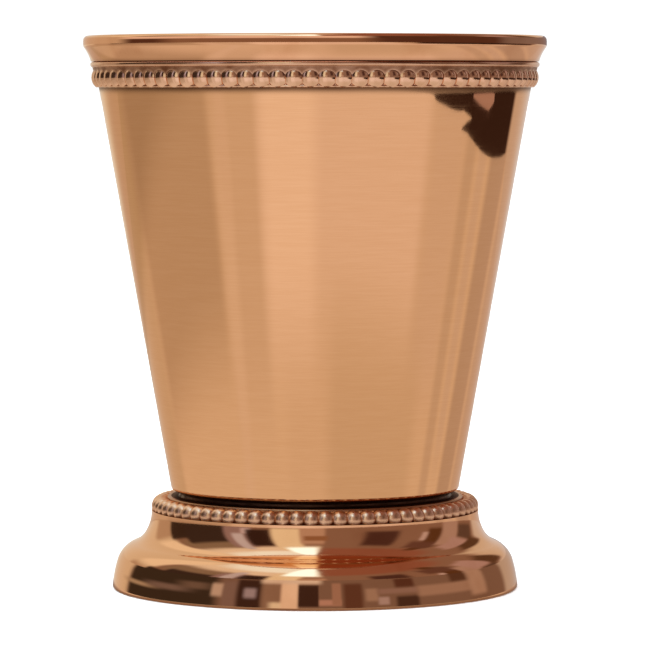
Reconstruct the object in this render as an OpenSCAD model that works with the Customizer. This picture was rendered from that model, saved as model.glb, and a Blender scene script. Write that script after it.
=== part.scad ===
// Copper julep cup on a spread foot: a tapered tumbler with a polished rim collar,
// a beaded band below the rim, and a hollow foot with a beaded shoulder.
// Millimetres. Origin at the centre of the circle that the foot rests on, +Z up.

/* [Tumbler] */
// Outer diameter of the tumbler at its flat bottom
body_base_d = 56.3; // [50:0.1:64]
// Outer diameter of the tumbler at its raw top edge
body_top_d = 87.4; // [80:0.1:96]
// Height from the tumbler's flat bottom to its raw top edge
body_h = 87.2; // [60:0.1:110]
// Thickness of the tumbler's wall
body_wall = 0.8; // [0.6:0.05:1.2]
// Thickness of the tumbler's bottom
body_floor = 1; // [0.8:0.05:1.6]
// Outside radius of the bend between wall and bottom
body_bend_r = 1; // [0.8:0.05:1.2]

/* [Rim collar] */
// Distance that the rolled lip stands out past the tumbler's raw edge
lip_out = 1.55; // [1.5:0.05:2.2]
// Height that the collar covers, from the beaded band to the top of the lip
collar_h = 5; // [4.8:0.05:9]
// Thickness of the collar where it lies along the tumbler
collar_t = 0.6; // [0.45:0.05:0.65]
// Radius of the rolled lip, above and below its straight land
lip_r = 0.95; // [0.8:0.05:1.1]
// Height of the straight land round the lip
lip_land = 1; // [0.6:0.05:1.3]
// Height of the lip above the tumbler's raw edge
lip_rise = 1.7; // [1.4:0.05:2]
// Radius of the hollow flare that leads out to the lip
flare_r = 8; // [6:0.1:10]

/* [Rim beading] */
// Number of pearls round the rim
rim_pearl_count = 87; // [60:1:100]
// Radius of one pearl in the rim band
rim_pearl_r = 2.5; // [2.2:0.05:2.8]
// Distance that the pearls stand out from the tumbler's wall
rim_pearl_out = 1.1; // [0.95:0.05:1.3]
// Height of the strip that carries the pearls
rim_strip_h = 5; // [4.8:0.05:6]
// Thickness of that strip
rim_strip_t = 0.3; // [0.2:0.05:0.4]
// Radius of the plain fillet along the strip's upper edge
fillet_r = 0.55; // [0.35:0.05:0.6]
// Radius of the finer fillet along the strip's lower edge
low_fillet_r = 0.25; // [0.2:0.05:0.35]

/* [Foot] */
// Height of the foot, up to the deck that the tumbler is soldered to
foot_h = 18; // [16:0.1:26]
// Thickness of the spun sheet
foot_wall = 1; // [0.8:0.05:1.3]
// Distance that the riser stands out past the tumbler's flat bottom
riser_out = 0.85; // [0.7:0.05:1.2]
// Width of the deck, from the riser in to its round opening
deck_w = 8; // [7:0.1:14]
// Height of the shoulder step that holds the beading
shoulder_h = 2.7; // [2.4:0.05:3.6]
// Width of that step, from the riser out to the neck
shoulder_w = 3.1; // [2.9:0.05:3.4]
// Height of the straight land at the top of the neck
neck_land = 0.1; // [0.1:0.05:0.5]
// Radius of the upper, wider part of the hollow cove below the neck
cove_r = 8.4; // [7.5:0.1:9.5]
// Angle that the upper part of the cove turns through
cove_turn = 30; // [24:1:34]
// Radius of the lower, tighter part of the cove, down to the ogee
cove_low_r = 5; // [4.5:0.1:5.5]
// Distance that the convex ogee stands out past the neck
ogee_out = 6.95; // [6.4:0.05:7.4]
// Radius of the convex ogee
ogee_r = 5.25; // [5:0.05:6]
// Distance that the skirt's edge stands out past the ogee
skirt_out = 0.7; // [0.5:0.05:1]
// Radius of the skirt's slight bulge, between the ogee and the bottom edge
skirt_r = 23; // [20:0.5:40]
// Radius of the rounded edge at the bottom of the skirt
foot_edge_r = 0.5; // [0.3:0.05:0.8]
// Width of the flange that is turned in under the skirt
foot_flange_w = 3.2; // [2:0.1:5]

/* [Foot beading] */
// Number of pearls round the foot
foot_pearl_count = 71; // [50:1:80]
// Radius of one pearl on the foot
foot_pearl_r = 1.85; // [1.75:0.05:1.95]

/* [Solder joint] */
// Thickness of the solder ring between foot and tumbler
solder_t = 1.1; // [0.6:0.05:1.6]
// Distance of the solder ring inside the edge of the tumbler's bottom
solder_in = 1.35; // [1.2:0.05:3]
// Width of the solder ring
solder_w = 4.6; // [2:0.1:5]
// Gap between pieces that are slipped over one another and soldered
slip_gap = 0.05; // [0.02:0.01:0.1]

/* [Hidden] */
$fn = 240;
// Facets round a pearl, which is small and is there many times
pearl_facets = 72;
// Straight steps in each rounded stretch of an outline
arc_steps = 12;
// How far a cutting shape runs past what it cuts
overrun = 2;

polished_copper = [0.85, 0.52, 0.36];
satin_copper = [0.82, 0.58, 0.42];
bead_copper = [0.78, 0.46, 0.31];
solder_grey = [0.42, 0.30, 0.24];

// Heights of the stack, from the ground up
body_z = foot_h + solder_t;
raw_edge_z = body_z + body_h;
rim_z = raw_edge_z + lip_rise;
collar_z = rim_z - collar_h;
strip_z = collar_z - slip_gap - rim_strip_h;
ledge_z = foot_h - shoulder_h;

// Radii of the foot, from its riser out to the edge that it stands on
riser_r = body_base_d / 2 + riser_out;
neck_r = riser_r + shoulder_w;
foot_r = neck_r + ogee_out + skirt_out;

// The tumbler's taper: its lean from the vertical, and its radius at a height
taper_slope = (body_top_d - body_base_d) / 2 / body_h;
taper = atan(taper_slope);
function body_r(z) = body_base_d / 2 + (z - body_z) * taper_slope;
// Radius at a height, a distance away from the tumbler's wall, square to the wall
function body_r_off(z, off) = body_r(z) + off / cos(taper);

// Points of an arc, from angle a0 to angle a1
function arc(centre, r, a0, a1) = [for (i = [0:arc_steps])
    let (a = a0 + (a1 - a0) * i / arc_steps) centre + r * [cos(a), sin(a)]];
// Unit vector at an angle
function unit(a) = [cos(a), sin(a)];

// Half outline of the spun tumbler: up the outside, then down the inside
module tumbler_body() {
    wall_off = -body_wall;
    bend_in_r = max(body_bend_r - body_wall, 0);
    // A bend of radius r, tangent to the bottom and to the tapered wall
    bend_x = body_r_off(body_z + body_bend_r, -body_bend_r);
    inner_x = body_r_off(body_z + body_floor + bend_in_r, wall_off - bend_in_r);
    outer = concat(
        [[0, body_z]],
        arc([bend_x, body_z + body_bend_r], body_bend_r, -90, -taper),
        [[body_top_d / 2, raw_edge_z]]);
    inner = concat(
        [[body_r_off(raw_edge_z, wall_off), raw_edge_z]],
        arc([inner_x, body_z + body_floor + bend_in_r], bend_in_r, -taper, -90),
        [[0, body_z + body_floor]]);
    color(satin_copper) rotate_extrude() polygon(concat(outer, inner));
}

// Polished collar: lies along the tumbler, flares out and rolls over its raw edge
module rim_collar() {
    lip_x = body_top_d / 2 + lip_out - lip_r;
    land_top_z = rim_z - lip_r;
    land_low_z = land_top_z - lip_land;
    mouth_r = body_r_off(raw_edge_z, -body_wall);
    // The flare is a circle that touches the lip's roll and the collar's tapered face
    lip_off = (lip_x - body_r(land_low_z)) * cos(taper) - collar_t;
    down = sqrt((flare_r + lip_r) ^ 2 - (flare_r - lip_off) ^ 2);
    wall_out = unit(-taper);
    wall_up = unit(90 - taper);
    flare_c = [lip_x, land_low_z] + (flare_r - lip_off) * wall_out - down * wall_up;
    to_lip = [lip_x, land_low_z] - flare_c;
    join_a = atan2(to_lip[1], to_lip[0]);
    // The flare starts where it leaves the tapered face, or at the collar's lower edge
    flare_z = max(flare_c[1] + flare_r * sin(taper), collar_z);
    outline = concat(
        [[body_r_off(collar_z, slip_gap), collar_z]],
        [[body_r_off(collar_z, collar_t), collar_z]],
        arc(flare_c, flare_r, 180 - asin((flare_z - flare_c[1]) / flare_r), join_a),
        arc([lip_x, land_low_z], lip_r, join_a - 180, 0),
        arc([lip_x, land_top_z], lip_r, 0, 90),
        arc([mouth_r + lip_r, land_top_z], lip_r, 90, 180),
        [[mouth_r, raw_edge_z + slip_gap]],
        [[body_r_off(raw_edge_z + slip_gap, slip_gap), raw_edge_z + slip_gap]]);
    color(polished_copper) rotate_extrude() polygon(outline);
}

// A ring of equal pearls, their centres on one circle
module pearl_ring(count, ring_r, z, r) {
    for (i = [0:count - 1])
        rotate([0, 0, i * 360 / count]) translate([ring_r, 0, z])
            sphere(r = r, $fn = pearl_facets);
}

// Beaded band: a thin strip round the tumbler, with a row of low pearls that run into one
// another, a plain fillet above them and a finer one along the strip's lower edge
module rim_beading() {
    strip_top_z = strip_z + rim_strip_h;
    fillet_z = strip_top_z - fillet_r;
    low_fillet_z = strip_z + low_fillet_r;
    pearl_z = (strip_z + fillet_z - fillet_r) / 2;
    pearl_ring_r = body_r_off(pearl_z, rim_pearl_out) - rim_pearl_r;
    color(bead_copper) difference() {
        union() {
            rotate_extrude() polygon([
                [body_r(strip_z) - rim_pearl_out, strip_z],
                [body_r_off(strip_z, rim_strip_t), strip_z],
                [body_r_off(strip_top_z, rim_strip_t), strip_top_z],
                [body_r(strip_z) - rim_pearl_out, strip_top_z]]);
            rotate_extrude() translate([body_r_off(fillet_z, rim_strip_t), fillet_z])
                circle(r = fillet_r);
            rotate_extrude() translate([body_r_off(low_fillet_z, rim_strip_t), low_fillet_z])
                circle(r = low_fillet_r);
            pearl_ring(rim_pearl_count, pearl_ring_r, pearl_z, rim_pearl_r);
        }
        translate([0, 0, strip_z - overrun]) cylinder(h = rim_strip_h + 2 * overrun,
            r1 = body_r_off(strip_z - overrun, slip_gap),
            r2 = body_r_off(strip_top_z + overrun, slip_gap));
        // The strip's lower edge cuts the pearls off flat
        translate([0, 0, strip_z - rim_pearl_r]) cylinder(h = rim_pearl_r,
            r = pearl_ring_r + rim_pearl_r + overrun);
    }
}

// Spun foot: flange, skirt, ogee, cove, neck, shoulder step and deck in one sheet
module foot_shell() {
    deck_hole_r = riser_r - deck_w;
    // The cove's upper part touches the straight neck, and its lower part the ogee
    ogee_x = neck_r + ogee_out - ogee_r;
    cove_c = [neck_r + cove_r, ledge_z - neck_land];
    cove_low_c = cove_c + (cove_r - cove_low_r) * unit(180 + cove_turn);
    ogee_z = cove_low_c[1] - sqrt((ogee_r + cove_low_r) ^ 2 - (cove_low_c[0] - ogee_x) ^ 2);
    ogee_c = [ogee_x, ogee_z];
    join_a = atan2(cove_low_c[1] - ogee_z, cove_low_c[0] - ogee_x);
    // Inside, the cove runs into the underside of the step
    under_z = ledge_z - foot_wall;
    under_a = asin((cove_c[1] - under_z) / (cove_r + foot_wall));
    // The skirt is the wide circle that holds the ogee and the bottom edge, and touches both
    edge_c = [foot_r - foot_edge_r, foot_edge_r];
    span = edge_c - ogee_c;
    along = ((skirt_r - ogee_r) ^ 2 - (skirt_r - foot_edge_r) ^ 2 + norm(span) ^ 2)
        / 2 / norm(span);
    aside = sqrt((skirt_r - ogee_r) ^ 2 - along ^ 2);
    skirt_c = ogee_c + (along * span + aside * [span[1], -span[0]]) / norm(span);
    top_a = atan2(ogee_c[1] - skirt_c[1], ogee_c[0] - skirt_c[0]);
    low_a = atan2(edge_c[1] - skirt_c[1], edge_c[0] - skirt_c[0]);
    skirt_in_a = asin((foot_wall - skirt_c[1]) / (skirt_r - foot_wall));
    flange_r = foot_r - foot_flange_w;
    outer = concat(
        [[flange_r, 0]],
        arc(edge_c, foot_edge_r, -90, low_a),
        arc(skirt_c, skirt_r, low_a, top_a),
        arc(ogee_c, ogee_r, top_a, join_a),
        arc(cove_low_c, cove_low_r, join_a + 180, 180 + cove_turn),
        arc(cove_c, cove_r, 180 + cove_turn, 180),
        [[neck_r, ledge_z], [riser_r, ledge_z], [riser_r, foot_h], [deck_hole_r, foot_h]]);
    inner = concat(
        [[deck_hole_r, foot_h - foot_wall], [riser_r - foot_wall, foot_h - foot_wall],
            [riser_r - foot_wall, under_z]],
        arc(cove_c, cove_r + foot_wall, 180 + under_a, 180 + cove_turn),
        arc(cove_low_c, cove_low_r + foot_wall, 180 + cove_turn, join_a + 180),
        arc(ogee_c, ogee_r - foot_wall, join_a, top_a),
        arc(skirt_c, skirt_r - foot_wall, top_a, skirt_in_a),
        [[flange_r, foot_wall]]);
    color(polished_copper) rotate_extrude() polygon(concat(outer, inner));
}

// Ring of pearls that run into one another, against the foot's riser. They reach up to the deck,
// and are cut off flat where they stand on the shoulder step
module foot_beading() {
    pearl_z = foot_h - slip_gap - foot_pearl_r;
    low_z = ledge_z + slip_gap;
    color(bead_copper) difference() {
        pearl_ring(foot_pearl_count, neck_r - foot_pearl_r, pearl_z, foot_pearl_r);
        translate([0, 0, ledge_z - overrun]) cylinder(h = shoulder_h + 2 * overrun,
            r = riser_r + slip_gap);
        translate([0, 0, low_z - foot_pearl_r]) cylinder(h = foot_pearl_r, r = neck_r + overrun);
    }
}

// Ring of solder that joins the tumbler's bottom to the foot's deck
module solder_joint() {
    outer_r = body_base_d / 2 - solder_in;
    color(solder_grey) translate([0, 0, foot_h]) difference() {
        cylinder(h = solder_t, r = outer_r);
        translate([0, 0, -overrun]) cylinder(h = solder_t + 2 * overrun, r = outer_r - solder_w);
    }
}

tumbler_body();
rim_collar();
rim_beading();
foot_shell();
foot_beading();
solder_joint();
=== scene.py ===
from math import asin, atan, atan2, cos, degrees, hypot, pi, radians, sin, sqrt

import bpy
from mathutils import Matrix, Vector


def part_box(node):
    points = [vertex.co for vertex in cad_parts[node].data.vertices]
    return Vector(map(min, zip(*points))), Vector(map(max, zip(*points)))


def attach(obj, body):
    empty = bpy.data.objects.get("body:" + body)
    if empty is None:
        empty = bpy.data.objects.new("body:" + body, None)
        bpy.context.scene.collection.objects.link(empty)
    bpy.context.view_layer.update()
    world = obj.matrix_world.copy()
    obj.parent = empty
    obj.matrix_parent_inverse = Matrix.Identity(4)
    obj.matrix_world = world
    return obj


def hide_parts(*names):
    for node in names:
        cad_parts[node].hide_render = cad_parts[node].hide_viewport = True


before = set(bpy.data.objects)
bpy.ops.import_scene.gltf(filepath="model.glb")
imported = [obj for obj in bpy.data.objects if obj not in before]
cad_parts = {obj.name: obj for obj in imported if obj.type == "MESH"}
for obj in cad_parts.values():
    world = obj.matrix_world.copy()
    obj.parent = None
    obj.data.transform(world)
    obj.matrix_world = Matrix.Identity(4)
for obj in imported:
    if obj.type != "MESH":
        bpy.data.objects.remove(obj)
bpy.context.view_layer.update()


# Camera
# A long lens, about as high as the pearls at the rim and looking slightly down. The cup stands a
# little to the left of the middle of the picture.
camera_at = (0.00147, -0.80648, 0.09784)
camera_dip = 3.259  # degrees below level
photo_width_px = 645
focal_length_px = 4118.66
film_width = 36
bpy.ops.object.camera_add(location=camera_at, rotation=(radians(90 - camera_dip), 0, 0))
camera = bpy.context.object
camera.name = "camera"
camera.data.sensor_width = film_width
camera.data.lens = film_width * focal_length_px / photo_width_px
bpy.context.scene.camera = camera
bpy.context.scene.view_settings.view_transform = "Standard"


# Tumbler body
# A copper tumbler, spun over a chuck from one round of sheet: flat bottom, straight taper, raw top
# edge. It is brushed round and round on the lathe, outside and in, and left satin.
mm = 0.001
wall = 0.8 * mm
bottom = 1 * mm
bend_r = 1 * mm
bend_in_r = bend_r - wall
base_r = 28.15 * mm
tumbler_low, tumbler_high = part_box("tumbler_body")
base_z = tumbler_low.z
raw_edge_z = tumbler_high.z
top_r = tumbler_high.x
taper_slope = (top_r - base_r) / (raw_edge_z - base_z)
taper = degrees(atan(taper_slope))
round_steps = 256
same_place = 1e-7  # metres: points closer together than this count as one


def body_r(z, off=0):
    """Radius at a height, and at a distance away from the tumbler's outer face."""
    return base_r + (z - base_z) * taper_slope + off / cos(radians(taper))


def arc(centre, radius, start, end, steps):
    """Points of a round stretch of a half outline, from one angle to another in degrees."""
    points = []
    for i in range(steps + 1):
        a = radians(start + (end - start) * i / steps)
        points.append((centre[0] + radius * cos(a), centre[1] + radius * sin(a)))
    return points


def straight(start, end, steps=1, hold=0.3 * mm):
    """Points of a straight stretch, with one more close to each end so that its shading stays flat."""
    length = hypot(end[0] - start[0], end[1] - start[1])
    close = min(hold / length, 0.25)
    shares = [0, close] + [i / steps for i in range(1, steps)] + [1 - close, 1]
    return [(start[0] + (end[0] - start[0]) * s, start[1] + (end[1] - start[1]) * s) for s in shares]


def turned(name, outline, closed=False):
    """A piece turned from its half outline round the cup's axis."""
    points = outline + outline[:1] if closed else outline
    bpy.ops.object.select_all(action="DESELECT")
    bpy.ops.mesh.primitive_plane_add(size=mm, location=(0, 0, 0))
    piece = bpy.context.object
    piece.name = name
    bpy.ops.object.mode_set(mode="EDIT")
    bpy.ops.mesh.merge(type="CENTER")
    bpy.ops.transform.translate(value=(points[0][0], 0, points[0][1]))
    for start, end in zip(points, points[1:]):
        step = (end[0] - start[0], 0, end[1] - start[1])
        if hypot(step[0], step[2]) > same_place:
            bpy.ops.mesh.extrude_vertices_move(TRANSFORM_OT_translate={"value": step})
    bpy.ops.mesh.select_all(action="SELECT")
    bpy.ops.mesh.spin(steps=round_steps, angle=2 * pi, center=(0, 0, 0), axis=(0, 0, 1))
    bpy.ops.mesh.select_all(action="SELECT")
    bpy.ops.mesh.remove_doubles(threshold=0.002 * mm)
    bpy.ops.mesh.normals_make_consistent(inside=False)
    bpy.ops.object.mode_set(mode="OBJECT")
    bpy.ops.object.shade_smooth_by_angle(angle=radians(30))
    return piece


bend_x = body_r(base_z + bend_r, -bend_r)
bend_in_z = base_z + bottom + bend_in_r
bend_in_x = body_r(bend_in_z, -wall - bend_in_r)
outer_bend = arc((bend_x, base_z + bend_r), bend_r, -90, -taper, 12)
inner_bend = arc((bend_in_x, bend_in_z), bend_in_r, -taper, -90, 8)
edge_out = (top_r, raw_edge_z)
edge_in = (body_r(raw_edge_z, -wall), raw_edge_z)
tumbler = turned(
    "tumbler",
    straight((0, base_z), outer_bend[0], 6)
    + outer_bend
    + straight(outer_bend[-1], edge_out, 24)
    + straight(edge_out, edge_in)
    + straight(edge_in, inner_bend[0], 24)
    + inner_bend
    + straight(inner_bend[-1], (0, base_z + bottom), 8),
)


def add_node(tree, kind, values=None, **settings):
    """A node in a tree, with its settings, and with values on its sockets by name or number."""
    made = tree.nodes.new(kind)
    for key, value in settings.items():
        setattr(made, key, value)
    for key, value in (values or {}).items():
        made.inputs[key].default_value = value
    return made


def feed(tree, given, socket):
    """Gives a socket a number, a colour, or a link from another node's socket."""
    if isinstance(given, tuple):
        socket.default_value = (*given, 1)
    elif isinstance(given, (int, float)):
        socket.default_value = given
    else:
        tree.links.new(given, socket)


def new_group(name, inputs):
    """An empty group of shader nodes with float inputs (name: value) and one float output."""
    group = bpy.data.node_groups.new(name, "ShaderNodeTree")
    for key, value in inputs.items():
        socket = group.interface.new_socket(key, in_out="INPUT", socket_type="NodeSocketFloat")
        socket.default_value = value
    group.interface.new_socket("Value", in_out="OUTPUT", socket_type="NodeSocketFloat")
    return group, add_node(group, "NodeGroupInput"), add_node(group, "NodeGroupOutput")


def place_group(tree, group, **inputs):
    """The output of a group placed in a tree. In the names of its inputs _ stands for a space."""
    made = add_node(tree, "ShaderNodeGroup", node_tree=group)
    for key, given in inputs.items():
        feed(tree, given, made.inputs[key.replace("_", " ")])
    return made.outputs[0]


def math_node(tree, operation, *given):
    """The output of a Math node on numbers or other nodes' sockets."""
    made = add_node(tree, "ShaderNodeMath", operation=operation)
    for i, value in enumerate(given):
        feed(tree, value, made.inputs[i])
    return made.outputs[0]


def ramp(tree, value, low, high, out_low=0, out_high=1):
    """A value taken smoothly from one range to another, and held at the ends."""
    made = add_node(tree, "ShaderNodeMapRange", interpolation_type="SMOOTHSTEP")
    for i, given in enumerate((value, low, high, out_low, out_high)):
        feed(tree, given, made.inputs[i])
    return made.outputs[0]


def axis_parts(tree):
    """Object coordinates, and the distance from the axis."""
    place = add_node(tree, "ShaderNodeTexCoord")
    parts = add_node(tree, "ShaderNodeSeparateXYZ")
    tree.links.new(place.outputs["Object"], parts.inputs[0])
    x, y, z = parts.outputs
    out = math_node(tree, "SQRT", math_node(tree, "ADD", math_node(tree, "MULTIPLY", x, x),
                                            math_node(tree, "MULTIPLY", y, y)))
    return x, y, z, out


# The marks of a lathe run round the axis: fine across, long along. Lines are per metre.
turned_lines, group_in, group_out = new_group(
    "turned lines", {"Lines": 4000, "Runs": 3, "Detail": 3})
x, y, z, out = axis_parts(turned_lines)
off_axis = math_node(turned_lines, "MAXIMUM", out, 1e-5)
cos_round = math_node(turned_lines, "DIVIDE", x, off_axis)
sin_round = math_node(turned_lines, "DIVIDE", y, off_axis)
lines_at = add_node(turned_lines, "ShaderNodeCombineXYZ")
lines_noise = add_node(turned_lines, "ShaderNodeTexNoise", {"Scale": 1, "Roughness": 0.6},
                       noise_dimensions="4D")
for value, scale, socket in ((cos_round, "Runs", lines_at.inputs[0]),
                             (sin_round, "Runs", lines_at.inputs[1]),
                             (z, "Lines", lines_at.inputs[2]),
                             (out, "Lines", lines_noise.inputs["W"])):
    scaled = math_node(turned_lines, "MULTIPLY", value, group_in.outputs[scale])
    turned_lines.links.new(scaled, socket)
turned_lines.links.new(lines_at.outputs[0], lines_noise.inputs["Vector"])
turned_lines.links.new(group_in.outputs["Detail"], lines_noise.inputs["Detail"])
turned_lines.links.new(lines_noise.outputs[0], group_out.inputs[0])

# Soft uneven patches: polishing, handling, the start of tarnish. Patches are per metre.
patches, group_in, group_out = new_group(
    "patches", {"Patches": 60, "Low": 0.45, "High": 0.7, "Seed": 0})
patches_place = add_node(patches, "ShaderNodeTexCoord")
patches_noise = add_node(patches, "ShaderNodeTexNoise", {"Detail": 5, "Roughness": 0.55},
                         noise_dimensions="4D")
patches.links.new(patches_place.outputs["Object"], patches_noise.inputs["Vector"])
patches.links.new(group_in.outputs["Patches"], patches_noise.inputs["Scale"])
patches.links.new(group_in.outputs["Seed"], patches_noise.inputs["W"])
patches.links.new(ramp(patches, patches_noise.outputs[0], group_in.outputs["Low"],
                       group_in.outputs["High"]), group_out.inputs[0])

# Copper seen at a slant is paler than seen straight.
edge_tint = (1.0, 0.84, 0.72, 1)


def new_metal(name, anisotropic=0, turn=0):
    """An empty metal material, with its tree and its Principled shader."""
    material = bpy.data.materials.new(name)
    material.use_nodes = True
    shader = material.node_tree.nodes["Principled BSDF"]
    shader.inputs["Metallic"].default_value = 1
    shader.inputs["Specular Tint"].default_value = edge_tint
    shader.inputs["Anisotropic"].default_value = anisotropic
    shader.inputs["Anisotropic Rotation"].default_value = turn
    return material, material.node_tree, shader


def mix_colours(tree, share, first, second):
    """A colour between two, by a share from a socket."""
    made = add_node(tree, "ShaderNodeMix", data_type="RGBA")
    for i, given in ((0, share), (6, first), (7, second)):
        feed(tree, given, made.inputs[i])
    return made.outputs[2]


def bump(tree, shader, heights):
    """Bump nodes in a row, one for each height socket and its depth in metres."""
    below = None
    for height, depth in heights:
        made = add_node(tree, "ShaderNodeBump", {"Strength": 1, "Distance": depth})
        tree.links.new(height, made.inputs["Height"])
        if below:
            tree.links.new(below, made.inputs["Normal"])
        below = made.outputs[0]
    tree.links.new(below, shader.inputs["Normal"])


def dress(piece, material, node):
    """Gives a piece its material, sets it on the cup and hides the CAD node it stands for."""
    piece.data.materials.clear()
    piece.data.materials.append(material)
    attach(piece, "root")
    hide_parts(node)


# A darkening in a corner, used for painted shade and for unpolished copper: it fades out from one
# height to another, between two radii.
stain_and_shade_line, group_in, group_out = new_group(
    "stain and shade line", {"Full": 0, "Gone": 1, "Inner": 0, "Outer": 1})
x, y, z, out = axis_parts(stain_and_shade_line)
stain_fade = ramp(stain_and_shade_line, z, group_in.outputs["Full"], group_in.outputs["Gone"], 1, 0)
past_inner = math_node(stain_and_shade_line, "GREATER_THAN", out, group_in.outputs["Inner"])
within_outer = math_node(stain_and_shade_line, "LESS_THAN", out, group_in.outputs["Outer"])
stain_here = math_node(stain_and_shade_line, "MULTIPLY", past_inner, within_outer)
stain_and_shade_line.links.new(math_node(stain_and_shade_line, "MULTIPLY", stain_fade, stain_here),
                     group_out.inputs[0])

satin_light = (0.775, 0.418, 0.212)
satin_deep = (0.745, 0.393, 0.193)
# Dark colour for painted shade: under the rim band and in the gap under the tumbler.
painted_shade_colour = (0.07, 0.02, 0.008)
band_foot_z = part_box("rim_beading")[0].z
satin, tree, shader = new_metal("brushed satin copper", anisotropic=0.35, turn=0.25)
brush_fine = place_group(tree, turned_lines, Lines=6000, Runs=7, Detail=2)
brush_wide = place_group(tree, turned_lines, Lines=1500, Runs=3, Detail=2)
handled = place_group(tree, patches, Patches=30, Low=0.35, High=0.75, Seed=3)
brush_mix = math_node(tree, "ADD", math_node(tree, "MULTIPLY", brush_fine, 0.6),
                      math_node(tree, "MULTIPLY", brush_wide, 0.4))
brushed_colour = mix_colours(tree, ramp(tree, brush_mix, 0.35, 0.65), satin_deep, satin_light)
# Painted shadow under the rim band: the wall is painted darker from the band's foot down over 2 mm.
band_shadow = place_group(tree, stain_and_shade_line, Full=band_foot_z,
                         Gone=band_foot_z - 2 * mm, Inner=body_r(band_foot_z, -wall))
band_shade = math_node(tree, "MULTIPLY", math_node(tree, "POWER", band_shadow, 2),
                    ramp(tree, handled, 0, 1, 0.8, 1))
tree.links.new(mix_colours(tree, band_shade, brushed_colour, painted_shade_colour), shader.inputs["Base Color"])
satin_rough = math_node(tree, "ADD", ramp(tree, brush_mix, 0.3, 0.7, 0.018, 0.034),
                        math_node(tree, "MULTIPLY", handled, 0.008))
satin_rough = math_node(tree, "ADD", satin_rough, math_node(tree, "MULTIPLY", band_shade, 0.4))
tree.links.new(satin_rough, shader.inputs["Roughness"])
bump(tree, shader, [(brush_wide, 0.00006 * mm), (brush_fine, 0.00002 * mm)])
dress(tumbler, satin, "tumbler_body")


# Rim collar
# A turned copper ring that hides the raw edge: it lies along the tumbler, flares out and rolls
# over into the mouth. Slipped on hot and polished bright on the lathe.
collar_low, collar_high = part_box("rim_collar")
collar_z = collar_low.z
rim_z = collar_high.z
lip_out_r = collar_high.x
collar_t = 0.6 * mm
lip_r = 0.95 * mm
lip_face_h = 1 * mm
lip_rise = 5  # degrees that the lip's bulged face looks up where it meets the roll above
lip_fall = 6  # degrees that it looks down where it meets the roll below
flare_r = 8 * mm
slip_gap = 0.05 * mm
top_roll_z = rim_z - lip_r
face_r = lip_face_h / (sin(radians(lip_rise)) + sin(radians(lip_fall)))
face_x = lip_out_r - face_r
face_z = top_roll_z - (face_r - lip_r) * sin(radians(lip_rise))
top_roll_x = face_x + (face_r - lip_r) * cos(radians(lip_rise))
roll_x = face_x + (face_r - lip_r) * cos(radians(lip_fall))
roll_z = face_z - (face_r - lip_r) * sin(radians(lip_fall))
mouth_r = body_r(raw_edge_z, -wall)
# The flare is a hollow that touches the roll above it and the collar's tapered face below it
roll_off = (roll_x - body_r(roll_z)) * cos(radians(taper)) - collar_t
down = sqrt((flare_r + lip_r) ** 2 - (flare_r - roll_off) ** 2)
flare_x = roll_x + (flare_r - roll_off) * cos(radians(taper)) - down * sin(radians(taper))
flare_z = roll_z - (flare_r - roll_off) * sin(radians(taper)) - down * cos(radians(taper))
join = degrees(atan2(roll_z - flare_z, roll_x - flare_x))
flare_start = 180 - degrees(asin((collar_z - flare_z) / flare_r))
flare_start = min(flare_start, 180 + taper)
under_z = raw_edge_z + slip_gap
collar = turned(
    "collar",
    arc((flare_x, flare_z), flare_r, flare_start, join, 32)
    + arc((roll_x, roll_z), lip_r, join - 180, -lip_fall, 24)
    + arc((face_x, face_z), face_r, -lip_fall, lip_rise, 10)
    + arc((top_roll_x, top_roll_z), lip_r, lip_rise, 90, 16)
    + arc((mouth_r + lip_r, top_roll_z), lip_r, 90, 180, 16)
    + [(mouth_r, under_z),
       (body_r(under_z, slip_gap), under_z),
       (body_r(collar_z, slip_gap), collar_z)],
    closed=True,
)

bright_light = (0.76, 0.40, 0.215)
bright_deep = (0.68, 0.335, 0.17)
# Dark colour for the painted shade at the collar's lower edge.
collar_shade_colour = (0.25, 0.1, 0.045)
bright, tree, shader = new_metal("polished copper")
buff_lines = place_group(tree, turned_lines, Lines=1500, Runs=4, Detail=3)
buff_waves = place_group(tree, turned_lines, Lines=160, Runs=3, Detail=1)
dulled = place_group(tree, patches, Patches=90, Low=0.48, High=0.72, Seed=8)
# Painted shade at the collar's lower edge, where it meets the bead strip, at a little over half
# strength and fading out 0.7 mm up.
collar_foot_shadow = place_group(tree, stain_and_shade_line, Full=collar_z - 0.2 * mm, Gone=collar_z + 0.7 * mm,
                       Inner=body_r(collar_z))
collar_foot_shade = math_node(tree, "MULTIPLY", collar_foot_shadow, 0.55)
bright_colour = mix_colours(tree, dulled, bright_light, bright_deep)
tree.links.new(mix_colours(tree, collar_foot_shade, bright_colour, collar_shade_colour),
               shader.inputs["Base Color"])
bright_rough = math_node(tree, "ADD", ramp(tree, buff_lines, 0.3, 0.7, 0.045, 0.075),
                         math_node(tree, "MULTIPLY", dulled, 0.05))
tree.links.new(bright_rough, shader.inputs["Roughness"])
bump(tree, shader, [(buff_waves, 0.02 * mm), (buff_lines, 0.0008 * mm)])
dress(collar, bright, "rim_collar")


# Rim beading
# A pressed copper strip with a row of half pearls and a round fillet above them, rolled round the
# tumbler under the collar and soldered. Only the crowns are polished, so the dips are rougher; the
# dips are also painted dark, as painted shade between the pearls.
strip_low, strip_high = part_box("rim_beading")
strip_z = strip_low.z
strip_top_z = strip_high.z
strip_t = 0.3 * mm
fillet_r = 0.55 * mm
rim_pearl_count = 87
rim_pearl_r = 2.5 * mm
rim_pearl_out = 1.1 * mm
low_fillet_r = 0.25 * mm
fillet_z = strip_top_z - fillet_r
rim_pearl_z = (strip_z + fillet_z - fillet_r) / 2
rim_ring_r = body_r(rim_pearl_z, rim_pearl_out) - rim_pearl_r


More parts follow.
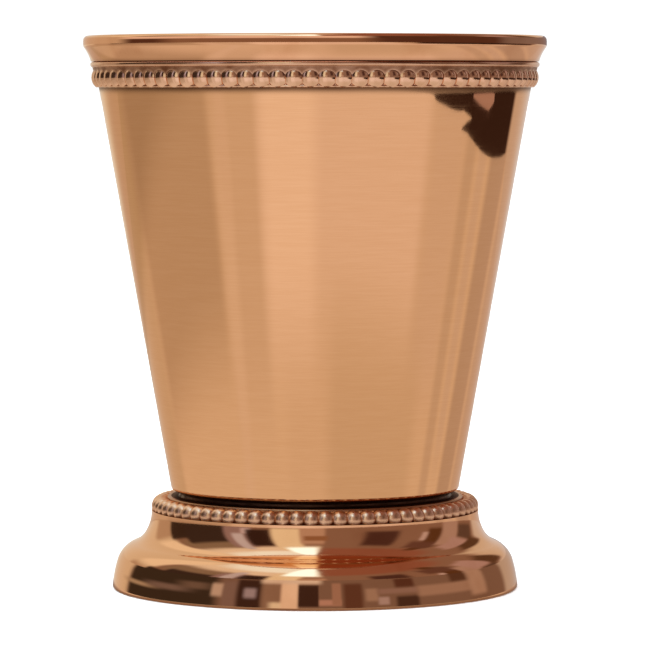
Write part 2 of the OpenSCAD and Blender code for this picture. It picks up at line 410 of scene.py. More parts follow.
def pearl_chain(name, count, ring_r, pearl_r, pearl_z, back_r, low_z, lean=0):
    """A ring of pearls that run into one another, cut off flat at the back and below."""
    half_pitch = pi / count
    bpy.ops.object.select_all(action="DESELECT")
    bpy.ops.mesh.primitive_uv_sphere_add(
        segments=24, ring_count=16, radius=pearl_r, location=(ring_r, 0, pearl_z))
    bpy.ops.object.transform_apply(location=True)
    piece = bpy.context.object
    piece.name = name
    bpy.ops.object.mode_set(mode="EDIT")
    cuts = [
        ((back_r, 0, pearl_z), (-cos(radians(lean)), 0, sin(radians(lean))), True),
        ((0, 0, low_z), (0, 0, -1), True),
        ((0, 0, 0), (-sin(half_pitch), cos(half_pitch), 0), False),
        ((0, 0, 0), (-sin(half_pitch), -cos(half_pitch), 0), False),
    ]
    for at, away, fill in cuts:
        bpy.ops.mesh.select_all(action="SELECT")
        bpy.ops.mesh.bisect(plane_co=at, plane_no=away, use_fill=fill, clear_outer=True,
                            threshold=same_place)
    bpy.ops.mesh.select_all(action="SELECT")
    bpy.ops.mesh.spin(steps=count, angle=2 * pi, center=(0, 0, 0), axis=(0, 0, 1), dupli=True)
    bpy.ops.mesh.select_all(action="SELECT")
    bpy.ops.mesh.remove_doubles(threshold=0.01 * mm)
    bpy.ops.mesh.normals_make_consistent(inside=False)
    bpy.ops.object.mode_set(mode="OBJECT")
    bpy.ops.object.shade_smooth_by_angle(angle=radians(30))
    return piece


def join_pieces(name, *parts):
    """Several meshes as one piece."""
    bpy.ops.object.select_all(action="DESELECT")
    for part in parts:
        part.select_set(True)
    bpy.context.view_layer.objects.active = parts[0]
    bpy.ops.object.join()
    parts[0].name = name
    return parts[0]


rim_pearls = pearl_chain(
    "rim_pearls", rim_pearl_count, rim_ring_r, rim_pearl_r, rim_pearl_z,
    body_r(rim_pearl_z, strip_t / 2), strip_z, lean=taper)
fillet_x = body_r(fillet_z, strip_t)
low_fillet_z = strip_z + low_fillet_r
low_fillet_x = body_r(low_fillet_z, strip_t)
rim_strip = turned(
    "rim_strip",
    [(body_r(strip_z, slip_gap), strip_z)]
    + arc((low_fillet_x, low_fillet_z), low_fillet_r, -90, 68, 12)
    + arc((fillet_x, fillet_z), fillet_r, -75, 82, 16)
    + [(body_r(strip_top_z, slip_gap), strip_top_z)],
    closed=True,
)
rim_beads = join_pieces("rim_beads", rim_strip, rim_pearls)

# How deep a point lies between the pearls of a ring: 0 on the crowns, 1 in the dips.
pearl_dips, group_in, group_out = new_group(
    "pearl dips", {"Count": 80, "Height": 0.1, "Pearl": 0.002, "Crown": 0.6})
x, y, z, out = axis_parts(pearl_dips)
pearl_turn = math_node(pearl_dips, "MULTIPLY", math_node(pearl_dips, "ARCTAN2", y, x),
                       math_node(pearl_dips, "DIVIDE", group_in.outputs["Count"], 2 * pi))
# Many whole pearls are added so that the number stays above 0, and half a one to centre them
pearl_turn = math_node(pearl_dips, "ADD", pearl_turn, 1000.5)
pearl_off = math_node(pearl_dips, "SUBTRACT", math_node(pearl_dips, "FRACT", pearl_turn), 0.5)
pearl_side = math_node(pearl_dips, "DIVIDE", math_node(pearl_dips, "MULTIPLY", pearl_off,
                       math_node(pearl_dips, "MULTIPLY", out, 2 * pi)), group_in.outputs["Count"])
pearl_up = math_node(pearl_dips, "SUBTRACT", z, group_in.outputs["Height"])
pearl_far = math_node(pearl_dips, "SQRT", math_node(
    pearl_dips, "ADD", math_node(pearl_dips, "MULTIPLY", pearl_side, pearl_side),
    math_node(pearl_dips, "MULTIPLY", pearl_up, pearl_up)))
pearl_share = math_node(pearl_dips, "DIVIDE", pearl_far, group_in.outputs["Pearl"])
pearl_dips.links.new(ramp(pearl_dips, pearl_share, group_in.outputs["Crown"], 1),
                     group_out.inputs[0])

# Colour of the painted shade in the dips between the pearls.
dip_shade_colour = (0.20, 0.075, 0.035)
pearl_light = (0.78, 0.465, 0.3)
pearl_deep = (0.7, 0.39, 0.235)


def bead_metal(name, count, crown_z, pearl_r, crown, polish, shade_top_z):
    """Beaded copper with bright crowns, and painted shade in the dips that fades out above a height.

    The crowns' middles lie at crown_z, and they are bright over a share of the pearl, crown.
    """
    material, tree, shader = new_metal(name)
    dips = place_group(tree, pearl_dips, Count=count, Height=crown_z, Pearl=pearl_r, Crown=crown)
    worn = place_group(tree, patches, Patches=260, Low=0.35, High=0.75, Seed=5)
    crown_colour = mix_colours(tree, worn, pearl_light, pearl_deep)
    # Painted shade in the dips between the pearls, varied a little in random patches and faded out
    # above a height.
    dip_shade = math_node(tree, "MULTIPLY", dips, ramp(tree, worn, 0, 1, 0.7, 1))
    z = axis_parts(tree)[2]
    shade_fade = ramp(tree, z, shade_top_z - 0.15 * mm, shade_top_z + 0.2 * mm, 1, 0.25)
    dip_shade = math_node(tree, "MULTIPLY", dip_shade, shade_fade)
    tree.links.new(mix_colours(tree, dip_shade, crown_colour, dip_shade_colour), shader.inputs["Base Color"])
    tree.links.new(ramp(tree, dip_shade, 0, 1, polish, 0.42), shader.inputs["Roughness"])
    grain = place_group(tree, patches, Patches=1400, Low=0.3, High=0.7, Seed=1)
    bump(tree, shader, [(grain, 0.004 * mm)])
    return material


rim_bead_metal = bead_metal(
    "beaded copper at the rim", rim_pearl_count, crown_z=rim_pearl_z - 0.7 * mm,
    pearl_r=rim_pearl_r, crown=0.58, polish=0.12, shade_top_z=fillet_z - fillet_r)
dress(rim_beads, rim_bead_metal, "rim_beading")


# Foot shell
# One sheet of copper, spun into flange, skirt, ogee, cove, neck, shoulder step and deck, open at
# the middle of the deck. Polished bright, with the turner's faint rings left in it.
foot_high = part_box("foot_shell")[1]
foot_z = foot_high.z
foot_r = foot_high.x
foot_wall = 1 * mm
riser_r = base_r + 0.85 * mm
deck_w = 8 * mm
step_h = 2.7 * mm
step_w = 3.1 * mm
neck_land = 0.1 * mm
cove_r = 8.4 * mm
cove_turn = 30
cove_low_r = 5 * mm
ogee_r = 5.25 * mm
ogee_out = 6.95 * mm
edge_r = 0.5 * mm
skirt_r = 23 * mm
flange_w = 3.2 * mm
corner_r = 0.3 * mm
deck_hole_r = riser_r - deck_w
ledge_z = foot_z - step_h
neck_r = riser_r + step_w
ogee_x = neck_r + ogee_out - ogee_r
cove_x = neck_r + cove_r
cove_z = ledge_z - neck_land
cove_low_x = cove_x - (cove_r - cove_low_r) * cos(radians(cove_turn))
cove_low_z = cove_z - (cove_r - cove_low_r) * sin(radians(cove_turn))
ogee_z = cove_low_z - sqrt((ogee_r + cove_low_r) ** 2 - (cove_low_x - ogee_x) ** 2)
meet = degrees(atan2(cove_low_z - ogee_z, cove_low_x - ogee_x))
under_ledge_a = degrees(asin((cove_z - ledge_z + foot_wall) / (cove_r + foot_wall)))
edge_x = foot_r - edge_r
# The skirt is a wide round that touches the ogee above it and the edge below it
span = (edge_x - ogee_x, edge_r - ogee_z)
span_l = hypot(*span)
along = ((skirt_r - ogee_r) ** 2 - (skirt_r - edge_r) ** 2 + span_l ** 2) / 2 / span_l
aside = sqrt((skirt_r - ogee_r) ** 2 - along ** 2)
skirt_x = ogee_x + (along * span[0] + aside * span[1]) / span_l
skirt_z = ogee_z + (along * span[1] - aside * span[0]) / span_l
top_a = degrees(atan2(ogee_z - skirt_z, ogee_x - skirt_x))
low_a = degrees(atan2(edge_r - skirt_z, edge_x - skirt_x))
skirt_in_a = degrees(asin((foot_wall - skirt_z) / (skirt_r - foot_wall)))
flange_r = foot_r - flange_w
edge_arc = arc((edge_x, edge_r), edge_r, -90, low_a, 12)
skirt_arc = arc((skirt_x, skirt_z), skirt_r, low_a, top_a, 12)
ogee_arc = arc((ogee_x, ogee_z), ogee_r, top_a, meet, 40)
cove_low_arc = arc((cove_low_x, cove_low_z), cove_low_r, meet + 180, 180 + cove_turn, 32)
cove_arc = arc((cove_x, cove_z), cove_r, 180 + cove_turn, 180, 32)
foot_outside = (
    straight((flange_r, 0), edge_arc[0])
    + edge_arc
    + skirt_arc
    + ogee_arc
    + cove_low_arc
    + cove_arc
    + [(neck_r, ledge_z), (riser_r, ledge_z)]
    + straight((riser_r, ledge_z), (riser_r, foot_z - corner_r), hold=0.2 * mm)
    + arc((riser_r - corner_r, foot_z - corner_r), corner_r, 0, 90, 8)
    + straight((riser_r - corner_r, foot_z), (deck_hole_r, foot_z), 4)
)
foot_inside = (
    [(deck_hole_r, foot_z - foot_wall), (riser_r - foot_wall, foot_z - foot_wall),
     (riser_r - foot_wall, ledge_z - foot_wall)]
    + arc((cove_x, cove_z), cove_r + foot_wall, 180 + under_ledge_a, 180 + cove_turn, 16)
    + arc((cove_low_x, cove_low_z), cove_low_r + foot_wall, 180 + cove_turn, meet + 180, 16)
    + arc((ogee_x, ogee_z), ogee_r - foot_wall, meet, top_a, 32)
    + arc((skirt_x, skirt_z), skirt_r - foot_wall, top_a, skirt_in_a, 8)
    + [(flange_r, foot_wall)]
)
foot = turned("foot", foot_outside + foot_inside, closed=True)

raw_copper = (0.42, 0.21, 0.11)
foot_metal, tree, shader = new_metal("polished copper of the foot")
ring_lines = place_group(tree, turned_lines, Lines=1300, Runs=4, Detail=3)
ring_waves = place_group(tree, turned_lines, Lines=130, Runs=2, Detail=1)
dulled = place_group(tree, patches, Patches=80, Low=0.45, High=0.75, Seed=12)
foot_colour = mix_colours(tree, dulled, bright_light, bright_deep)
# Painted shade in the gap under the tumbler: the deck beneath its bottom is painted dark and left
# rough.
gap_shade = place_group(tree, stain_and_shade_line, Full=foot_z - 0.1 * mm, Gone=foot_z - 0.2 * mm,
                   Outer=base_r + 0.1 * mm)
deck_edge = place_group(tree, stain_and_shade_line, Full=foot_z - 0.4 * mm, Gone=foot_z - 0.6 * mm,
                        Inner=base_r + 0.1 * mm, Outer=riser_r + 0.1 * mm)
foot_colour = mix_colours(tree, deck_edge, foot_colour, raw_copper)
tree.links.new(mix_colours(tree, gap_shade, foot_colour, painted_shade_colour), shader.inputs["Base Color"])
foot_rough = math_node(tree, "ADD", ramp(tree, ring_lines, 0.3, 0.7, 0.05, 0.08),
                       math_node(tree, "MULTIPLY", dulled, 0.05))
unpolished = math_node(tree, "ADD", math_node(tree, "MULTIPLY", gap_shade, 0.5),
                       math_node(tree, "MULTIPLY", deck_edge, 0.25))
foot_rough = math_node(tree, "ADD", foot_rough, unpolished)
tree.links.new(foot_rough, shader.inputs["Roughness"])
bump(tree, shader, [(ring_waves, 0.025 * mm), (ring_lines, 0.0008 * mm)])
dress(foot, foot_metal, "foot_shell")


# Foot beading
# A strip of pearls like the one at the rim, rolled into a ring. It is soldered to the riser, up to
# the deck, and the pearls are cut off flat where they stand on the foot's shoulder step.
foot_pearl_count = 71
foot_pearl_r = 1.85 * mm
foot_pearl_z = foot_z - slip_gap - foot_pearl_r
foot_beads = pearl_chain(
    "foot_beads", foot_pearl_count, neck_r - foot_pearl_r, foot_pearl_r, foot_pearl_z,
    riser_r + slip_gap, ledge_z + slip_gap)
foot_bead_metal = bead_metal(
    "beaded copper at the foot", foot_pearl_count, crown_z=foot_pearl_z + 0.8 * mm,
    pearl_r=foot_pearl_r, crown=0.66, polish=0.3, shade_top_z=foot_z)
dress(foot_beads, foot_bead_metal, "foot_beading")


# Solder joint
# A ring of soft solder between the foot's deck and the tumbler's bottom. It drew itself in as it
# set, so its sides are hollow, and it is left dull.
solder_low, solder_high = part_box("solder_joint")
solder_r = solder_high.x
solder_w = 4.6 * mm
solder_hole_r = solder_r - solder_w
solder_h = solder_high.z - solder_low.z
hollow = 0.35 * mm
hollow_r = (solder_h ** 2 / 4 + hollow ** 2) / (2 * hollow)
hollow_a = degrees(asin(solder_h / 2 / hollow_r))
solder_mid_z = solder_low.z + solder_h / 2
solder = turned(
    "solder",
    arc((solder_r + hollow_r - hollow, solder_mid_z), hollow_r, 180 + hollow_a, 180 - hollow_a, 10)
    + arc((solder_hole_r - hollow_r + hollow, solder_mid_z), hollow_r, hollow_a, -hollow_a, 10),
    closed=True,
)
solder_grey = (0.09, 0.045, 0.03)
solder_dark = (0.03, 0.012, 0.008)
solder_metal, tree, shader = new_metal("dull solder")
lumps = place_group(tree, patches, Patches=350, Low=0.3, High=0.7, Seed=2)
stain = place_group(tree, patches, Patches=110, Low=0.4, High=0.7, Seed=6)
tree.links.new(mix_colours(tree, stain, solder_grey, solder_dark), shader.inputs["Base Color"])
tree.links.new(ramp(tree, lumps, 0, 1, 0.38, 0.6), shader.inputs["Roughness"])
bump(tree, shader, [(lumps, 0.05 * mm)])
dress(solder, solder_metal, "solder_joint")


# Floor
# A plain white floor, so wide that its far edge meets the backdrop. The metal doesn't mirror it:
# it mirrors the sheet of paper below instead.
floor_size = 60
bpy.ops.object.select_all(action="DESELECT")
bpy.ops.mesh.primitive_plane_add(size=floor_size, location=(0, 0, 0))
floor = bpy.context.object
floor.name = "floor"
floor_material = bpy.data.materials.new("pale floor")
floor_material.use_nodes = True
floor_shader = floor_material.node_tree.nodes["Principled BSDF"]
floor_shader.inputs["Base Color"].default_value = (0.86, 0.86, 0.86, 1)
floor_shader.inputs["Roughness"].default_value = 0.9
floor_shader.inputs["Specular IOR Level"].default_value = 0
floor.data.materials.append(floor_material)
floor.visible_glossy = False


# Paper under the cup
# A sheet of white paper that only the metal mirrors. It glows by itself, in soft wedges of light
# and shade round the cup, and it ends at the right, where the dark table beyond it shows.

# A soft card is 1 within its limits across and up, and fades to 0 over its soft edges.
card_group, group_in, group_out = new_group(
    "soft card", {"Across": 0, "Up": 0, "From": 0, "To": 0, "Low": 0, "High": 0,
                  "Soft across": 1, "Soft up": 1})


def card_edge(value, low, high, soft):
    """1 between two limits, falling to 0 over a soft edge on both sides."""
    half = math_node(card_group, "MULTIPLY", math_node(card_group, "SUBTRACT", high, low), 0.5)
    middle = math_node(card_group, "MULTIPLY", math_node(card_group, "ADD", high, low), 0.5)
    off = math_node(card_group, "ABSOLUTE", math_node(card_group, "SUBTRACT", value, middle))
    past = math_node(card_group, "DIVIDE", math_node(card_group, "SUBTRACT", off, half), soft)
    return ramp(card_group, past, 0.5, -0.5)


sockets = group_in.outputs
across = card_edge(sockets["Across"], sockets["From"], sockets["To"], sockets["Soft across"])
upward = card_edge(sockets["Up"], sockets["Low"], sockets["High"], sockets["Soft up"])
card_group.links.new(math_node(card_group, "MULTIPLY", across, upward), group_out.inputs[0])


def lay_cards(tree, azimuth, up, light, cards):
    """Soft-edged cards laid over a light, one after another. The last one lies on top."""
    for name, start, end, low, high, soft_across, soft_up, colour in cards:
        card = place_group(tree, card_group, Across=azimuth, Up=up, From=start, To=end, Low=low,
                           High=high, Soft_across=soft_across, Soft_up=soft_up)
        card.node.label = name
        light = mix_colours(tree, card, light, colour)
    return light


def round_from_front(tree, x, y):
    """Direction round the axis in radians: 0 in front, at the camera, and growing to the right."""
    return math_node(tree, "ARCTAN2", x, math_node(tree, "MULTIPLY", y, -1))


def only_mirrored(piece):
    """Hides a piece from the camera, from diffuse light and from shadows, so that only bright metal
    shows it.
    """
    piece.visible_camera = False
    piece.visible_diffuse = False
    piece.visible_shadow = False


def lay_sheet(name, corners, height):
    """A flat sheet with the given corners, that only mirrors show."""
    bpy.ops.object.select_all(action="DESELECT")
    bpy.ops.mesh.primitive_plane_add(size=mm, location=(0, 0, height))
    sheet = bpy.context.object
    sheet.name = name
    bpy.ops.object.transform_apply(location=True)
    bpy.ops.object.mode_set(mode="EDIT")
    bpy.ops.mesh.merge(type="CENTER")
    bpy.ops.transform.translate(value=(corners[0][0], corners[0][1], 0))
    for start, end in zip(corners, corners[1:]):
        step = (end[0] - start[0], end[1] - start[1], 0)
        bpy.ops.mesh.extrude_vertices_move(TRANSFORM_OT_translate={"value": step})
    bpy.ops.mesh.select_all(action="SELECT")
    bpy.ops.mesh.edge_face_add()
    bpy.ops.object.mode_set(mode="OBJECT")
    only_mirrored(sheet)
    return sheet


def glow(sheet, name):
    """A material that only glows. Its tree and its Emission node come back."""
    material = bpy.data.materials.new(name)
    material.use_nodes = True
    tree = material.node_tree
    tree.nodes.clear()
    lamp = add_node(tree, "ShaderNodeEmission")
    surface = add_node(tree, "ShaderNodeOutputMaterial")
    tree.links.new(lamp.outputs[0], surface.inputs["Surface"])
    sheet.data.materials.append(material)
    return tree, lamp


sheet_z = -1 * mm
# The right edge is a little bent, with a nick in it, where the paper curls. Corners in metres.
paper_corners = [
    (-1.2, -1.2), (0.1, -1.2), (0.323, -0.15), (0.346, -0.115), (0.368, -0.077), (0.393, -0.035),
    (0.41, 0.015), (0.392, -0.012), (0.371, -0.038), (0.384, -0.005), (0.393, 0.035),
    (0.402, 0.087), (0.412, 0.143), (0.432, 0.257), (0.449, 0.373), (0.46, 0.45), (-1.2, 0.45),
]
paper = lay_sheet("paper", paper_corners, sheet_z)
tree, lamp = glow(paper, "lit paper")
x, y, z, out = axis_parts(tree)
seen_from_axis = round_from_front(tree, x, y)
# The tumbler's wall mirrors it from a little to one side, so its wedges are turned by that much
mid_r = 36 * mm
sideways = math_node(tree, "MULTIPLY", math_node(tree, "SINE", math_node(
    tree, "MULTIPLY", seen_from_axis, 0.5)), mid_r)
sideways = math_node(tree, "ARCSINE", math_node(tree, "DIVIDE", sideways, out))
azimuth = math_node(tree, "DEGREES", math_node(tree, "ADD", seen_from_axis, sideways))
paper_tone = (0.84, 0.79, 0.725)
# Each card: azimuth from, to, distance from, to, soft edge across, soft edge outwards, light
paper_cards = [
    ("edge at the left", -200, -128, 0, 3, 14, 0.1, (0.72, 0.68, 0.6)),
    ("far edge at the left", -200, -124, 0.4, 3, 12, 0.1, (0.6, 0.55, 0.45)),
    ("light near the foot", -128, -20, -1, 0.14, 10, 0.08, (0.865, 0.82, 0.755)),
    ("shade at the left", -128, -60, 0.16, 3, 10, 0.11, (0.63, 0.57, 0.5)),
    ("deep shade at the left", -128, -70, 0.4, 3, 16, 0.14, (0.5, 0.44, 0.37)),
    ("streak at the left", -59, -30, 0.12, 3, 7, 0.1, (0.8, 0.75, 0.7)),
    ("bright streak at the left", -58, -50, 0, 0.3, 6, 0.1, (0.87, 0.83, 0.8)),
    ("far bright streak at the left", -56, -50, 0.25, 3, 5, 0.1, (0.84, 0.79, 0.76)),
    ("light in front", -31, 68, 0.165, 3, 9, 0.13, (0.945, 0.905, 0.925)),
    ("brightest in front", -30, 0, 0.16, 3, 12, 0.12, (1.05, 1.03, 1.06)),
    ("shade beside the light", 68, 94, 0.14, 3, 14, 0.08, (0.81, 0.76, 0.74)),
    ("shade near the foot at the right", 10, 80, -1, 0.15, 14, 0.12, (0.755, 0.705, 0.63)),
    ("first line at the right", 94, 103, 0, 3, 6, 0.1, (0.7, 0.65, 0.61)),
    ("light line at the right", 106, 114, 0.11, 3, 6, 0.08, (0.76, 0.72, 0.71)),
    ("shade at the right", 118, 139, 0, 3, 7, 0.1, (0.6, 0.555, 0.54)),
    ("edge at the right", 141, 200, 0, 3, 10, 0.1, (0.66, 0.62, 0.6)),
    ("behind the cup, left half", -200, -172, 0, 3, 24, 0.1, (0.68, 0.64, 0.58)),
    ("behind the cup, right half", 172, 200, 0, 3, 24, 0.1, (0.68, 0.64, 0.58)),
    ("shade round the foot", -200, 200, -1, 0.048, 1, 0.008, (0.34, 0.28, 0.24)),
]
tree.links.new(lay_cards(tree, azimuth, out, paper_tone, paper_cards), lamp.inputs["Color"])

# A pale thing that lies on the dark table, past the paper's edge. It glows by itself in one colour, as
# a painted reflection that only the metal shows.
cloth_corners = [(0.43, 0.005), (0.45, 0.01), (0.53, 0.165), (0.487, 0.172), (0.462, 0.126),
                 (0.443, 0.055)]
cloth = lay_sheet("cloth", cloth_corners, sheet_z)
tree, lamp = glow(cloth, "lit cloth")
lamp.inputs["Color"].default_value = (0.5, 0.38, 0.4, 1)


# Near things
# A low ring close round the foot, which only the metal mirrors. It glows by itself: painted
# reflections of things close by. The skirt shows it from so near that it is drawn larger there than
# the room above: doors, shelves and rails in soft patches.
def stand_ring(name, radius, low_z, high_z):
    """An upright ring round the cup, between two heights, that only mirrors show."""
    bpy.ops.object.select_all(action="DESELECT")
    bpy.ops.mesh.primitive_cylinder_add(
        vertices=180, radius=radius, depth=high_z - low_z, end_fill_type="NOTHING",
        location=(0, 0, (low_z + high_z) / 2))
    bpy.ops.object.transform_apply(location=True)
    ring = bpy.context.object
    ring.name = name
    only_mirrored(ring)
    return ring


def light_ring(ring, name, tone, cards):
    """Makes a ring glow in one tone, with cards laid over it by azimuth and height."""
    tree, lamp = glow(ring, name)
    x, y, z, out = axis_parts(tree)
    azimuth = math_node(tree, "DEGREES", round_from_front(tree, x, y))
    height_mm = math_node(tree, "DIVIDE", z, mm)
    tree.links.new(lay_cards(tree, azimuth, height_mm, tone, cards), lamp.inputs["Color"])


near_tone = (0.25, 0.19, 0.17)
# Each card: azimuth from, to, height in mm from, to, soft edge across, soft edge up, light.
# A card whose limits lie past the ring's own edges runs up to the edge.
near_cards = [
    ("bright wall at the left", -200, -79, -1, 20, 8, 2, (0.8, 0.8, 0.7)),
    ("dark wall", -78, -32, -1, 20, 5, 2, (0.055, 0.045, 0.035)),
    ("rail", -82, -60, 3.2, 4.2, 14, 1, (0.5, 0.47, 0.4)),
    ("rail in the middle", -64, -44, 3.6, 5.2, 14, 1.2, (0.23, 0.2, 0.21)),
    ("rail at the right", -47, -35, 4.8, 6.8, 10, 1.2, (0.19, 0.16, 0.15)),
    ("window", -34, -29.5, 3.2, 7, 2, 1.5, (0.62, 0.6, 0.62)),
    ("wall beside the window", -30, -24, 0, 8, 2, 2, (0.26, 0.21, 0.22)),
    ("dark doorway", -25, -16.5, -1, 9, 2.5, 2, (0.06, 0.035, 0.03)),
    ("lamp in the doorway", -22.5, -18.5, 3.2, 6, 2, 1.5, (0.4, 0.42, 0.62)),
    ("wall in front", -16.5, -8, -1, 20, 3, 2, (0.33, 0.26, 0.23)),
    ("light low on the wall in front", -14, -8, -1, 2.2, 3, 1.2, (0.95, 1.05, 1.0)),
    ("bright wall", -10.5, -5.2, -1, 20, 1.5, 2, (0.97, 0.95, 0.92)),
    ("bright ceiling", -17, 2, 7.8, 20, 3, 1.5, (0.85, 0.9, 0.95)),
    ("dark box", -5, 1.2, 1, 7.4, 0.8, 1, (0.06, 0.035, 0.03)),
    ("board", 1.4, 8.2, 1.4, 3, 1, 1, (0.55, 0.4, 0.4)),
    ("edge of the board", 5.4, 8.2, 1.4, 8, 1, 1, (0.42, 0.3, 0.27)),
    ("dark door", 9, 15, -1, 7.8, 2, 1.5, (0.14, 0.075, 0.055)),
    ("pale frame", 16, 20, 2.4, 6, 2, 1.2, (0.42, 0.35, 0.33)),
    ("pale spot", 20, 23.5, 1.3, 3.4, 1.5, 1, (0.48, 0.45, 0.55)),
    ("shelf", 20, 34, 4.3, 5.8, 3, 1, (0.33, 0.26, 0.27)),
    ("dark boxes", 26, 34, -1, 3.4, 2, 1.2, (0.08, 0.05, 0.04)),
    ("dark boxes above", 26, 33, 6, 9, 2, 1.2, (0.12, 0.06, 0.045)),
    ("pale shelf at the right", 34, 60, 3, 6, 3, 1.2, (0.42, 0.34, 0.32)),
    ("dark thing on the shelf", 48, 56, 6.2, 20, 3, 1.2, (0.12, 0.07, 0.05)),
    ("curtain", 57, 66, 1.5, 20, 4, 1.5, (0.52, 0.45, 0.44)),
    ("pale wall", 82, 200, -1, 20, 6, 2, (0.58, 0.6, 0.62)),
    ("wall behind, left half", -200, -168, -1, 20, 24, 2, (0.68, 0.68, 0.64)),
    ("wall behind, right half", 168, 200, -1, 20, 24, 2, (0.68, 0.68, 0.64)),
]
near_things = stand_ring("near_things", 45 * mm, 0, 9.5 * mm)
light_ring(near_things, "lit near things", near_tone, near_cards)


# Things at the rim
# A second glowing ring, so close round the rim and so low that only the lip mirrors it: painted
# reflections of a bright wall over a shelf in front, a pale wall at the left and a darker one at the
# right.
rim_tone = (0.115, 0.058, 0.042)
# Each card: azimuth from, to, height in mm from, to, soft edge across, soft edge up, light
rim_cards = [
    ("shelf in front", -40, 14, 100, 107.4, 10, 0.4, (0.3, 0.2, 0.15)),
    ("bright wall above it", -64, 13, 107.4, 120, 8, 0.5, (1.0, 0.92, 0.95)),
    ("wall at the left", -200, -56, 100, 120, 9, 1, (0.72, 0.66, 0.57)),
    ("wall at the right", 55, 200, 100, 120, 9, 1, (0.28, 0.25, 0.27)),
    ("wall behind, left half", -200, -120, 100, 120, 40, 1, (0.6, 0.54, 0.47)),
    ("wall behind, right half", 120, 200, 100, 120, 40, 1, (0.6, 0.54, 0.47)),
]
things_at_rim = stand_ring("things_at_rim", 47 * mm, 106.05 * mm, 109.7 * mm)
light_ring(things_at_rim, "lit things at the rim", rim_tone, rim_cards)


# Room
# What the bright metal mirrors, by direction: azimuth 0 is where the camera stands and grows to the
# right, elevation is above the horizon, both in degrees. The room is a dim one, with windows,
# lamps, curtains and doorways as soft-edged cards.
world = bpy.data.worlds.new("room")
bpy.context.scene.world = world
world.use_nodes = True
tree = world.node_tree
tree.nodes.clear()
towards = add_node(tree, "ShaderNodeTexCoord")
parts = add_node(tree, "ShaderNodeSeparateXYZ")
tree.links.new(towards.outputs["Generated"], parts.inputs[0])
x, y, z = parts.outputs
azimuth = math_node(tree, "DEGREES", round_from_front(tree, x, y))
elevation = math_node(tree, "DEGREES", math_node(tree, "ARCSINE", z))
room_tone = (0.31, 0.22, 0.185)
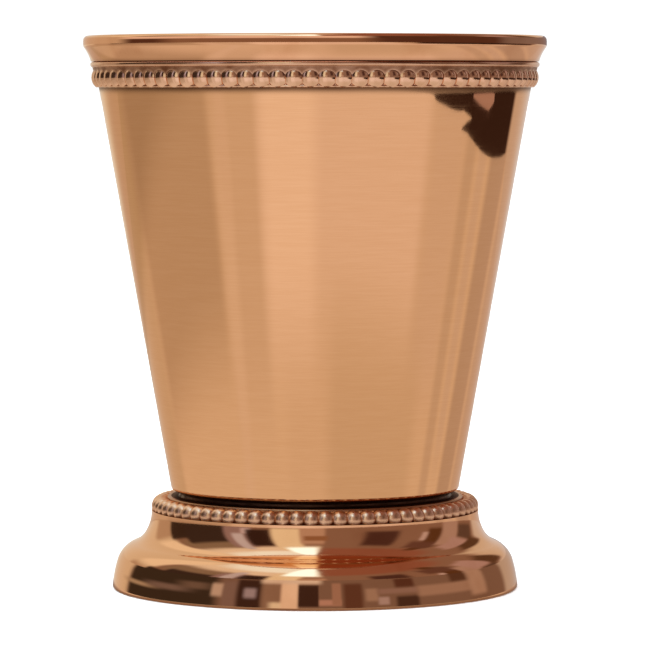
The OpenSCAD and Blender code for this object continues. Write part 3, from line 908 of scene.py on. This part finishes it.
# Each card: azimuth from, to, elevation from, to, soft edge across, soft edge up, light
room_cards = [
    ("ceiling at the left", -200, 5, 46, 100, 6, 10, (0.98, 1.05, 1.02)),
    ("window in the roof", -175, -4, 62, 84, 40, 10, (1.15, 1.6, 1.95)),
    ("ceiling at the right", 6, 200, 51, 82, 16, 10, (0.33, 0.155, 0.115)),
    ("middle of the ceiling", -200, 200, 83, 100, 1, 6, (1.0, 0.95, 0.85)),
    ("wall at the left", -200, -119, -8, 60, 6, 10, (0.84, 0.86, 0.76)),
    ("light on the wall", -141, -117, 24, 60, 10, 8, (1.05, 1.1, 1.0)),
    ("foot of the wall", -142, -118, -8, 19, 8, 8, (0.57, 0.5, 0.42)),
    ("wall over the doorway", -112, -60, 26, 48, 10, 16, (0.3, 0.26, 0.21)),
    ("doorway at the left", -121, -98, -8, 23, 5, 6, (0.055, 0.04, 0.032)),
    ("doorway beside it", -104, -63, -8, 33, 6, 8, (0.055, 0.04, 0.035)),
    ("curtain", -67, -46, -8, 46, 5, 8, (0.36, 0.3, 0.36)),
    ("light on the curtain", -61, -52, 14, 54, 4, 8, (0.66, 0.76, 1.05)),
    ("light low on the curtain", -53, -46, 2, 14, 4, 5, (0.75, 0.78, 1.05)),
    ("dark doorway", -50, -32, 4, 44, 5, 8, (0.045, 0.025, 0.02)),
    ("wall in front", -31, -9, 0, 60, 5, 10, (1.0, 1.07, 0.93)),
    ("wall behind the camera", -11, 7, -8, 40, 4, 10, (0.58, 0.46, 0.4)),
    ("shade of a lamp", -8, 9, 19, 31, 4, 6, (0.34, 0.2, 0.12)),
    ("key lamp", -24, 2, 49, 84, 8, 8, (1.5, 2.6, 3.6)),
    ("dark corner", 36, 62, 9, 43, 7, 8, (0.095, 0.05, 0.045)),
    ("cupboard", 87, 101, 6, 54, 5, 8, (0.13, 0.065, 0.03)),
    ("lamp on the cupboard", 82, 87, 13, 29, 4, 5, (0.62, 0.58, 0.68)),
    ("shadow of the cupboard", 76, 106, 31, 47, 8, 8, (0.16, 0.09, 0.075)),
    ("curtain at the right", 101, 119, -6, 36, 5, 8, (0.5, 0.42, 0.43)),
    ("doorway at the right", 119, 137, 2, 19, 6, 6, (0.14, 0.1, 0.085)),
    ("wall over the doorway at the right", 112, 134, 20, 42, 6, 6, (0.52, 0.43, 0.5)),
    ("beam", 134, 152, 15, 34, 6, 6, (0.13, 0.08, 0.05)),
    ("wall at the right", 141, 200, -14, 13, 8, 5, (0.72, 0.76, 0.8)),
    ("wall behind, at the right", 152, 200, 10, 30, 6, 8, (0.74, 0.74, 0.68)),
    ("far paper at the left", -200, 52, -95, -5, 8, 3, (0.66, 0.6, 0.53)),
    ("far paper in front", -36, 40, -95, -5, 10, 3, (0.95, 0.92, 0.92)),
    ("dark table", 52, 137, -95, -4, 6, 3, (0.045, 0.026, 0.022)),
    ("far paper at the right", 137, 200, -95, -5, 5, 3, (0.68, 0.66, 0.66)),
    ("wall behind, left half", -200, -172, -6, 120, 20, 4, (0.76, 0.72, 0.64)),
    ("wall behind, right half", 172, 200, -6, 120, 20, 4, (0.76, 0.72, 0.64)),
    ("far paper behind, left half", -200, -172, -95, -6, 20, 4, (0.67, 0.63, 0.58)),
    ("far paper behind, right half", 172, 200, -95, -6, 20, 4, (0.67, 0.63, 0.58)),
]
room_light = lay_cards(tree, azimuth, elevation, room_tone, room_cards)
room = add_node(tree, "ShaderNodeBackground")
tree.links.new(room_light, room.inputs["Color"])
# Past the floor's far edge the camera sees plain white
backdrop = add_node(tree, "ShaderNodeBackground", {"Color": (1.1, 1.1, 1.1, 1)})
ray = add_node(tree, "ShaderNodeLightPath")
shown = add_node(tree, "ShaderNodeMixShader")
tree.links.new(ray.outputs["Is Camera Ray"], shown.inputs[0])
tree.links.new(room.outputs[0], shown.inputs[1])
tree.links.new(backdrop.outputs[0], shown.inputs[2])
surround = add_node(tree, "ShaderNodeOutputWorld")
tree.links.new(shown.outputs[0], surround.inputs["Surface"])


# Overhead light
# One very wide soft light straight above the cup. It whitens the floor and leaves a faint shade
# round the foot, and the metal doesn't mirror it.
light_strength = 4.6
light_spread = 110  # degrees
bpy.ops.object.light_add(type="SUN", location=(0, 0, 1))
overhead = bpy.context.object
overhead.name = "overhead_light"
overhead.data.energy = light_strength
overhead.data.angle = radians(light_spread)
overhead.visible_glossy = False
